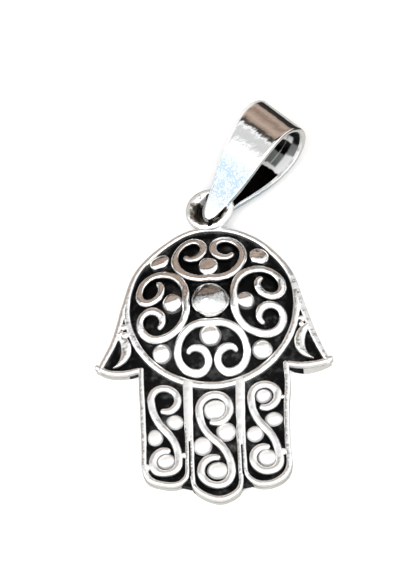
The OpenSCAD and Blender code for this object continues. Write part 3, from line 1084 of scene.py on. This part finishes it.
# %% Painted shade in the open lower part of both seams and in the notches between the fingers
SEAM_SHADE_WIRE = {"width": 0.2, "top": RIM_H - 0.02, "crown": 0.03}
NOTCH_SHADE_H = 0.72
NOTCH_SHADE = [
    [(-2.0, -12.9), (-2.62, -14.4), (-1.95, -14.55)],
    [(2.0, -12.9), (1.97, -14.5), (2.6, -14.4)],
]
bm = bmesh.new()
for x, start_y, length in ((-MIDDLE_W / 2, -10.9, 2.7), (MIDDLE_W / 2, -11.4, 2.2)):
    lay_wire(bm, (x, start_y, -90), [(length, 0)], **SEAM_SHADE_WIRE)
for corners in NOTCH_SHADE:
    face = bm.faces.new([bm.verts.new((x, y, 0.0)) for x, y in corners])
    raised = split(bmesh.ops.extrude_face_region(bm, geom=[face])["geom"])[0]
    bmesh.ops.translate(bm, verts=raised, vec=(0, 0, NOTCH_SHADE_H))
painted_seam_shade = finish_piece("painted_seam_shade", bm, patina_and_shade_black)
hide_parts("hamsa")


# %% Lumps of solder where wires meet
def add_lump(bm, at, radius, uneven, grain, field):
    """An uneven ball, which reads its unevenness at a place of its own in the noise field."""
    made = bmesh.ops.create_icosphere(bm, subdivisions=3, radius=radius)["verts"]
    for v in made:
        v.co = at + v.co * (1 + uneven * noise.noise(v.co * grain + field))


# x, y and radius: at the thumbs' roots, then inside the fingers
LUMPS = [
    (-6.72, -1.2, 0.3), (-6.95, -1.75, 0.26), (-6.65, -1.9, 0.3), (-7.2, -2.2, 0.2),
    (6.8, -1.3, 0.26), (6.75, -1.75, 0.24),
    (-5.25, -12.75, 0.26), (-2.42, -11.9, 0.2), (5.1, -11.95, 0.24), (5.15, -7.6, 0.16),
]
LUMP_Z = RIM_H - 0.24
bm = bmesh.new()
for x, y, r in LUMPS:
    spot = Vector((x, y, LUMP_Z))
    add_lump(bm, spot, r, uneven=0.45, grain=2.5, field=Vector((x, y, 0)))
solder = finish_piece("junction_solder", bm, bead_silver, top=RIM_H + 0.1)
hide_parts("hamsa")

# %% [markdown]
# ## Leaves, hearts and S scrolls
#
# Inside each thumb lies a leaf, a wire that is fat in the middle. Four heart
# scrolls stand round the palm, each one wire with two curled lobes, and they
# drape over the dome. Each finger has an S with two hooked eyes. All of them
# are the wire from above, led along other arcs and tapered at the ends. A
# curve with a bevel would give a round wire, but these are rounded on top and
# straight at the sides.

# %% Leaves
LEAF_L = 2.86
LEAF_W = 0.8
LEAF_SAG = 0.85
LEAF_TILT = 8.6
LEAF_SHIFT = (0.08, 0.2, 0)
# How far its middle is inside the thumb's tip and above it, in shares of the thumb's reach
LEAF_IN = 0.2
LEAF_RISE = 0.147


def leaf_taper(share):
    """Fat in the middle, blunt at the upper end and thin at the lower one."""
    return 0.04 + 0.96 * math.sin(math.pi * (0.16 + 0.84 * share))


leaf_r = (LEAF_L**2 / 4 + LEAF_SAG**2) / (2 * LEAF_SAG)
leaf_turn = 2 * math.degrees(math.asin(LEAF_L / 2 / leaf_r))
leaf_x, leaf_y = thumb_tip[0] * (1 - LEAF_IN), thumb_tip[1] + LEAF_RISE * thumb_tip[0]
heading = math.radians(LEAF_TILT - 90)
leaf_down = Vector((math.cos(heading), math.sin(heading)))
leaf_start = Vector((leaf_x, leaf_y)) - leaf_down * LEAF_L / 2

bm = bmesh.new()
leaf_spot = (leaf_start.x, leaf_start.y, LEAF_TILT - 90 - leaf_turn / 2)
lay_wire(bm, leaf_spot, [(leaf_r, leaf_turn)], LEAF_W, crown=0.3, taper=leaf_taper)
bmesh.ops.translate(bm, verts=bm.verts[:], vec=LEAF_SHIFT)
mirrored(bm)
leaves = finish_piece("thumb_leaves", bm, wire_silver)
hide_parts("hamsa")

# %% Heart scrolls
HEART_ROOT = 1.86
HEART_GAP = 0.4
HEART_L = RING_IN - HEART_GAP - WIRE_W / 2 - HEART_ROOT
ROOT_DIP = 12.4
ROOT_R = 0.02
# Radius in shares of the heart's length, and turn
HEART_STEPS = [(0.606, -90 - ROOT_DIP), (0.408, -90), (0.231, -90), (0.268, -90), (0.155, -55)]
heart_half = [(share * HEART_L, turn) for share, turn in HEART_STEPS]
heart_end = walked((HEART_ROOT, 0, 90 + ROOT_DIP), heart_half)
heart_start = (heart_end[0], -heart_end[1], 180 - heart_end[2])
heart_track = [*reversed(heart_half), (ROOT_R, 2 * ROOT_DIP), *heart_half]


def hook_taper(thin, reach):
    """A wire that narrows to thin over the last part of its length at both ends."""

    def share_of_width(share):
        near = min(share, 1 - share) / reach
        return thin + (1 - thin) * min(1.0, near) ** 0.7

    return share_of_width


HEARTS = {"right": 0, "top": 90, "left": 180, "bottom": 270}
for name, turn in HEARTS.items():
    bm = bmesh.new()
    lay_wire(bm, heart_start, heart_track, WIRE_W, taper=hook_taper(thin=0.72, reach=0.05))
    bmesh.ops.rotate(
        bm, verts=bm.verts[:], cent=(0, 0, 0), matrix=Matrix.Rotation(math.radians(turn), 3, "Z")
    )
    heart = finish_piece("heart_" + name, bm, wire_silver, drape=True)
    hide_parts("hamsa")

# %% S scrolls
EYE_REACH = 2.46
SCROLL_GAP = 0.15
SIDE_END_GAP = 0.5
MIDDLE_END_GAP = 0.56
HOOK_SHARE = 0.91
HOOK_TURN = -105
side_cell = (HAND_W / 2 - MIDDLE_W / 2 - RIM_W - SEAM_W) / 2
side_loop = side_cell - SCROLL_GAP - WIRE_W / 2
middle_loop = MIDDLE_W / 2 - SEAM_W - SCROLL_GAP - WIRE_W / 2
side_x = MIDDLE_W / 2 + SEAM_W + side_cell
side_s_y = -SIDE_DROP + RIM_W + SIDE_END_GAP + WIRE_W / 2 + side_loop + EYE_REACH
middle_s_y = -MIDDLE_DROP + RIM_W + MIDDLE_END_GAP + WIRE_W / 2 + middle_loop + EYE_REACH

# x and y of the middle, and radius of the two eyes
SCROLLS = {
    "left": (-side_x, side_s_y, side_loop),
    "middle": (0.0, middle_s_y, middle_loop),
    "right": (side_x, side_s_y, side_loop),
}
for name, (x, y, loop_r) in SCROLLS.items():
    sweep = 2 * math.degrees(math.atan(loop_r / EYE_REACH))
    half = [
        (EYE_REACH / math.sin(math.radians(sweep)), -sweep),
        (loop_r, -180),
        (loop_r * HOOK_SHARE, HOOK_TURN),
    ]
    end = walked((0, 0, 90 + sweep), half)
    back = [(radius, -turn) for radius, turn in reversed(half)]
    start = (x - end[0], y - end[1], end[2])
    bm = bmesh.new()
    lay_wire(bm, start, [*back, *half], WIRE_W, taper=hook_taper(thin=0.75, reach=0.06))
    scroll = finish_piece("scroll_" + name, bm, wire_silver)
    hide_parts("hamsa")

# %% [markdown]
# ## Granules
#
# A granule is a scrap of silver that draws itself into a ball as it melts, and
# it slumps a little where it is soldered down. Each starts as an icosphere,
# gets its own lumps from noise and sinks into the ground. Those on the upper
# palm look flattened, so a rounded square in place of the circle makes their
# profile flat on top. All are placed one by one, because no two of them sit
# alike in the photograph.


# %% Granules
BEAD_SINK = 0.45
BEAD_UNEVEN = 0.05
BEAD_GRAIN = 1.5


def add_granule(bm, x, y, r, rise, seed, stretch=(1.0, 1.0), squareness=2.0):
    """A ball with foot radius r that stands rise above the ground.

    A squareness of 2 keeps its profile round, and more makes it flat on top.
    """
    z = web_z(x, y)
    if math.hypot(x, y) < RING_IN:
        up = Vector((x, y, z - DOME_Z)).normalized()
    else:
        up = Vector((0, 0, 1))
    ball = (r * r + rise * rise) / (2 * rise)
    made = bmesh.ops.create_icosphere(bm, subdivisions=4, radius=ball)["verts"]
    tilt = Vector((0, 0, 1)).rotation_difference(up).to_matrix()
    centre = Vector((x, y, z)) + up * (rise - ball)
    for v in made:
        lump = 1 + BEAD_UNEVEN * noise.noise(v.co * BEAD_GRAIN + Vector((seed * 3.1, 0, 0)))
        flat = max(1e-6, v.co.xy.length / ball) ** (2 / squareness - 1)
        high = max(1e-6, abs(v.co.z) / ball) ** (2 / squareness - 1)
        co = Vector((v.co.x * flat * stretch[0], v.co.y * flat * stretch[1], v.co.z * high)) * lump
        co.z = max(co.z, ball - rise - BEAD_SINK)
        v.co = centre + tilt @ co


# %% Places of the granules
PALM_BEAD = 0.68
BEAD_GAP = 0.04
bead_u = HEART_ROOT + WIRE_W / 2 + PALM_BEAD - BEAD_GAP
corner_u = (RING_IN - PALM_BEAD - BEAD_GAP) * math.sqrt(0.5)
# x, y, foot radius, stretch in x and y
PALM_BEADS = [
    (bead_u - 0.12, -0.04, 0.74, (1.05, 1.0)),
    (-0.02, bead_u + 0.04, 0.78, (1.0, 1.05)),
    (-bead_u - 0.02, 0.06, 0.8, (1.05, 1.05)),
    (-0.1, -bead_u + 0.1, 0.82, (1.02, 1.05)),
    (corner_u - 0.05, corner_u, 0.72, (1.1, 1.0)),
    (-corner_u + 0.02, corner_u + 0.16, 0.76, (1.08, 0.95)),
    (-corner_u, -corner_u + 0.2, 0.76, (1.0, 1.05)),
    (corner_u - 0.06, -corner_u + 0.12, 0.76, (1.08, 1.0)),
]
# Side of the S (or its lower and upper eye), shift in x and y, foot radius, stretch
FINGER_BEAD_SHAPES = {
    "left": [
        ("right", -0.02, 0.17, 0.64, (1.06, 0.95)),
        ("left", -0.03, 0.17, 0.6, (1.0, 1.08)),
        ("low", 0.02, 0.11, 0.68, (1.15, 0.98)),
    ],
    "middle": [
        ("right", -0.04, 0.12, 0.73, (1.02, 1.06)),
        ("left", -0.07, 0.2, 0.74, (1.02, 1.03)),
        ("low", 0.13, 0.08, 0.75, (1.16, 0.95)),
        ("high", 0.05, 0.05, 0.84, (1.12, 1.0)),
    ],
    "right": [
        ("right", -0.06, 0.1, 0.62, (1.1, 0.95)),
        ("left", 0.03, 0.18, 0.64, (1.04, 1.02)),
        ("low", 0.09, 0.12, 0.71, (1.12, 1.0)),
        ("high", -0.05, 0.12, 0.61, (1.05, 0.98)),
    ],
}
# How far beside the S, in shares of its eyes' radius and of their distance from its middle
BESIDE_X = 0.76
BESIDE_Y = 0.235
FINGER_BEADS = []
for name, (x, y, loop_r) in SCROLLS.items():
    dx, dy = BESIDE_X * loop_r, BESIDE_Y * EYE_REACH
    spots = {
        "right": (x + dx, y + dy),
        "left": (x - dx, y - dy),
        "low": (x, y - EYE_REACH),
        "high": (x, y + EYE_REACH),
    }
    for side, shift_x, shift_y, r, stretch in FINGER_BEAD_SHAPES[name]:
        FINGER_BEADS.append((spots[side][0] + shift_x, spots[side][1] + shift_y, r, stretch))

print(len(PALM_BEADS) + len(FINGER_BEADS), "granules have a place")

# %% Lay the granules
BOSS_R = 1.5
BOSS_RISE = 1.14
FLAT_TOP = 3.2
FLAT_TOP_FROM = 2
dome_top = PLATE_T + DOME_RISE

bm = bmesh.new()
add_granule(bm, 0, -0.02, BOSS_R, BOSS_RISE, 1, (1.02, 0.98))
boss = finish_piece(
    "palm_boss", bm, boss_silver, ground=dome_top, top=dome_top + 0.95
)
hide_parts("hamsa")

# How high they stand in shares of their radius, and how much less on the upper palm
for label, beads, rise_share, flatter in (
    ("palm_granules", PALM_BEADS, 0.85, 0.22),
    ("finger_granules", FINGER_BEADS, 0.68, 0.0),
):
    bm = bmesh.new()
    for seed, (x, y, r, stretch) in enumerate(beads):
        share = rise_share - flatter * min(1.0, max(0.0, y / 3))
        squareness = FLAT_TOP if y > FLAT_TOP_FROM else 2.0
        add_granule(bm, x, y, r, r * share, seed + 2, stretch, squareness)
    piece = finish_piece(label, bm, bead_silver, ground=0.0, top=RIM_H)
    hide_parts("hamsa")

# %% [markdown]
# ## Loop
#
# The loop is a ring of round wire, soldered to the rim with a slight lean. A primitive torus would
# do for a new one. Here the circle of the wire is spun round, so that its points can then be moved:
# solder has run into the loop's left side and made it fat. Each point also says how far inward it
# faces, and the finish paints shade on the inside by that, deeper low on the left, with a painted
# highlight at the upper left.

# %% Loop
LOOP_R = 1.47
LOOP_WIRE = 0.72
LOOP_SINK = 0.42
LOOP_AT = Vector((0.25, PALM_R + LOOP_R + LOOP_WIRE / 2 - LOOP_SINK, 0.95))
LOOP_ROLL = math.radians(-17)
LOOP_POINTS = 20
LOOP_STEPS = 64
# How much fatter the wire is on the left: inward, more so when deep, and in height
SWELL = 0.34
DEEP_SWELL = 0.8
RAISED = 0.4
# How much more painted shade it gets when deep on the left, and how much painted highlight at the
# upper left
DEEPER_PAINTED_SHADE = 0.5
PAINTED_HIGHLIGHT_AMOUNT = 1.4

bm = bmesh.new()
bmesh.ops.create_circle(bm, segments=LOOP_POINTS, radius=LOOP_WIRE / 2)
upright = Matrix.Rotation(math.pi / 2, 3, "X")
bmesh.ops.rotate(bm, verts=bm.verts[:], cent=(0, 0, 0), matrix=upright)
bmesh.ops.translate(bm, verts=bm.verts[:], vec=(LOOP_R, 0, 0))
spin_full(bm, bm.verts[:] + bm.edges[:], LOOP_STEPS)
inner = bm.verts.layers.float.new("inner")
for v in bm.verts:
    v[inner] = (LOOP_R - v.co.xy.length) / (LOOP_WIRE / 2)
    deep = max(0.0, -v.co.z / (LOOP_WIRE / 2))
    west = max(0.0, -v.co.x / LOOP_R)
    swell = (SWELL + DEEP_SWELL * deep) * max(0.0, v[inner]) * west
    # The inner number also carries painted shade, deeper low on the left, and a painted highlight
    # at the upper left
    v[inner] += DEEPER_PAINTED_SHADE * deep * west
    northwest = (0.87 * v.co.y - 0.5 * v.co.x) / v.co.xy.length
    v[inner] -= PAINTED_HIGHLIGHT_AMOUNT * max(0.0, northwest) ** 12
    v.co.xy *= 1 - swell / v.co.xy.length
    v.co.z *= 1 + RAISED * max(0.0, -v.co.x / LOOP_R)
bmesh.ops.scale(bm, vec=(1.06, 0.94, 1), verts=bm.verts[:])
lean = Matrix.Translation(LOOP_AT) @ Matrix.Rotation(LOOP_ROLL, 4, "Y")
bmesh.ops.transform(bm, matrix=lean, verts=bm.verts[:])
loop = finish_piece("loop", bm, loop_silver, wobble=0.6)
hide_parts("hamsa")

# %% Solder on the loop, and black lumps of painted shade in the gap between its ends
for label, material, lumps in (
    ("loop_solder", solder_silver, [(-0.5, 9.16, 0.86, 0.3), (-0.8, 8.98, 0.8, 0.24)]),
    ("loop_gap_painted_shade", patina_and_shade_black, [(0.3, 6.96, 1.36, 0.2), (0.26, 6.76, 1.24, 0.2)]),
):
    bm = bmesh.new()
    for *spot, r in lumps:
        add_lump(bm, Vector(spot), r, uneven=0.5, grain=4.0, field=Vector(spot))
    lump = finish_piece(label, bm, material, wobble=0.6)
    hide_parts("hamsa")

# %% [markdown]
# ## Bail
#
# The bail is a tapered strap, folded over and closed at its tip round the
# loop. It lies to the right with its right-hand edge up. It could be a plane
# with a Solidify modifier, but near the loop its outer face runs straight on
# while its inner face follows the wire. So the section across the strap is
# extruded from one row of points to the next, round the fold and back. Then
# the tip, where both sides are one, is added.

# %% Sizes of the bail
BAIL_L = 10.0
BAIL_W = 4.5
FOLD_R = 2.15
STRAP_T = 0.38
PINCH_L = 0.35
HANG_L = 2.15
BAIL_SWING = 43.0
CONTACT_TURN = 56.0
BAIL_PITCH = 3.31
THROAT_PLAY = 0.07
STRAIGHT_TO = 3.6
GAP_POWER = 1.2
BULGE = 0.26
BULGE_FROM = 1.2
throat_gap = LOOP_WIRE / 2 + THROAT_PLAY
throat_from = HANG_L - LOOP_WIRE
throat_to = HANG_L + LOOP_WIRE / 2
fold_at = BAIL_L - FOLD_R
bulge_l = fold_at - 0.6
fold_in = FOLD_R - STRAP_T
# Distance from the tip and width, in shares of the bail's length and width
BAIL_OUTLINE = [
    (0, 0.08), (0.012, 0.14), (0.036, 0.22), (0.083, 0.3), (0.125, 0.355), (0.167, 0.4),
    (0.25, 0.49), (0.375, 0.625), (0.49, 0.73), (0.615, 0.82), (0.73, 0.885), (0.83, 0.92),
    (1.01, 0.93),
]
print("the strap folds", round(fold_at, 2), "mm from its tip")


# %% How the strap runs from its tip to its fold
def half_gap(a):
    """Half of the opening between the strap's two sides, at a distance from the tip."""
    if a <= PINCH_L:
        return 0.0
    if a < throat_from:
        return throat_gap * math.sin(math.pi / 2 * (a - PINCH_L) / (throat_from - PINCH_L))
    if a < throat_to:
        return throat_gap
    opened = math.sin(math.pi / 2 * (a - throat_to) / (fold_at - throat_to))
    return throat_gap + (fold_in - throat_gap) * opened**GAP_POWER


def half_width(a):
    """Half of the strap's width at a distance from the tip."""
    share = a / BAIL_L
    for (a0, w0), (a1, w1) in zip(BAIL_OUTLINE, BAIL_OUTLINE[1:]):
        if share <= a1:
            return (w0 + (w1 - w0) * (share - a0) / (a1 - a0)) * BAIL_W / 2
    return BAIL_W / 2


def outer_height(a):
    """Height of the outer face: straight from the tip past the loop, then the strap's."""
    reach = min(1.0, a - PINCH_L, fold_at - a)
    heights = []
    for spot in [a + reach * k / 6 for k in range(-6, 7)]:
        sloping = half_gap(STRAIGHT_TO) * (spot - PINCH_L) / (STRAIGHT_TO - PINCH_L)
        heights.append(half_gap(spot) if spot > STRAIGHT_TO else sloping)
    return sum(heights) / len(heights) + STRAP_T


def bulge(a):
    """How much further the lower side of the strap reaches to the right."""
    return BULGE * math.sin(math.pi * min(1.0, max(0.0, a - BULGE_FROM) / bulge_l))


# %% Rows and sections of the strap
FOLD_STEPS = 24
stops = [PINCH_L + (throat_from - PINCH_L) * k / 8 for k in range(9)]
stops += [throat_from + (throat_to - throat_from) * k / 5 for k in range(1, 5)]
stops += [throat_to + (fold_at - throat_to) * k / 18 for k in range(19)]
rows = [((a, outer_height(a)), (a, half_gap(a))) for a in stops]
for k in range(1, FOLD_STEPS):
    t = math.radians(90 - 180 / FOLD_STEPS * k)
    rows.append(
        (
            (fold_at + FOLD_R * math.cos(t), FOLD_R * math.sin(t)),
            (fold_at + fold_in * math.cos(t), fold_in * math.sin(t)),
        )
    )
rows += [((o[0], -o[1]), (i[0], -i[1])) for o, i in reversed(rows[: len(stops)])]
print("the strap has", len(rows), "rows")
# Places across the strap in shares of its half width, one more where the rubbed edge starts
ACROSS = [-1, -0.75, -0.5, -0.25, 0, 0.25, 0.5, 0.75, 0.86, 1]
SHEAR = 0.045
TIP_SLOPE = 0.25


def strap_point(side, row):
    """A point of the strap, which bulges below on the right and is folded a little askew."""
    a, z = row
    w = side * (half_width(a) + (bulge(a) if z < 0 < side else 0))
    return w, a - SHEAR * w * min(1.0, a / fold_at), z


def strap_section(row):
    """Points of the strap's section: the outer face from left to right, then the inner back."""
    outer, inner = row
    over = [strap_point(side, outer) for side in ACROSS]
    under = [strap_point(side, inner) for side in reversed(ACROSS)]
    return over + under


def tip_section(a):
    """Points of the closed tip's section, where both sides of the strap are one."""
    top = STRAP_T - TIP_SLOPE * (PINCH_L - a)
    over = [strap_point(side, (a, top)) for side in ACROSS]
    under = [strap_point(side, (a, -top)) for side in reversed(ACROSS)]
    return over + [strap_point(1, (a, 0))] + under + [strap_point(-1, (a, 0))]


# %% Fold the strap and close its tip
def sweep(bm, sections):
    """Extrudes a face through the sections, and leaves the last face in place."""
    verts = [bm.verts.new(p) for p in sections[0]]
    face = bm.faces.new(verts)
    for points in sections[1:]:
        made = bmesh.ops.extrude_face_region(bm, geom=[face])["geom"]
        bmesh.ops.delete(bm, geom=[face], context="FACES_ONLY")
        face = next(g for g in made if isinstance(g, bmesh.types.BMFace))
        ends = {v: v.co.copy() for v in face.verts}
        fresh = [min(ends, key=lambda v: (ends[v] - old.co).length) for old in verts]
        for v, point in zip(fresh, points):
            v.co = point
        verts = fresh
    return face


bm = bmesh.new()
last = sweep(bm, [strap_section(row) for row in rows])
bmesh.ops.delete(bm, geom=[last], context="FACES_ONLY")
sweep(bm, [tip_section(a) for a in (PINCH_L, 0.24, 0.12, 0.0)])
bmesh.ops.remove_doubles(bm, verts=bm.verts[:], dist=WELD)
print("open edges of the bail:", sum(not e.is_manifold for e in bm.edges))

# %% Round its edges and sort its faces
EDGE_ROUND = 0.06
# Edges that turn by more than this many radians are rounded
ROUNDED_FROM = 1.0
# The rubbed edge starts at this share of the half width
RUBBED_FROM = 0.83


def is_inside(face):
    """Whether a face looks into the strap's opening."""
    x, a, z = face.calc_center_median()
    if abs(face.normal.x) > 0.3 or a < PINCH_L:
        return False
    if a > fold_at:
        return math.hypot(a - fold_at, z) < (FOLD_R + fold_in) / 2
    return abs(z) < (half_gap(a) + outer_height(a)) / 2


bmesh.ops.recalc_face_normals(bm, faces=bm.faces[:])
along = bm.verts.layers.float.new("along")
across = bm.verts.layers.float.new("across")
for v in bm.verts:
    v[along] = v.co.y / BAIL_L
    v[across] = v.co.x / (half_width(v.co.y) + (bulge(v.co.y) if v.co.z < 0 < v.co.x else 0))
edges = [e for e in bm.edges if e.calc_face_angle(0) > ROUNDED_FROM]
bmesh.ops.bevel(
    bm, geom=edges, offset=EDGE_ROUND, segments=3, profile=0.5, affect="EDGES", material=-1
)
for face in bm.faces:
    face.normal_update()
    on_edge = min(v[across] for v in face.verts) > RUBBED_FROM
    rubbed = face.calc_center_median().z < 0 and on_edge
    face.material_index = (2 if rubbed else 1) if is_inside(face) else 0
print("edges rounded:", len(edges))

# %% Hang the bail in the loop
bmesh.ops.translate(bm, verts=bm.verts[:], vec=(0, -HANG_L, 0))
contact = math.radians(CONTACT_TURN)
hang = (
    lean
    @ Matrix.Translation((LOOP_R * math.sin(contact), LOOP_R * math.cos(contact), 0))
    @ Matrix.Rotation(math.radians(-BAIL_SWING), 4, "Z")
    @ Matrix.Rotation(math.radians(BAIL_PITCH), 4, "X")
)
bmesh.ops.transform(bm, matrix=hang, verts=bm.verts[:])
bail = finish_piece("bail_strap", bm, strap_silver, wobble=0)
bail.data.materials.append(strap_inside)
bail.data.materials.append(strap_edge)
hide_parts("bail")
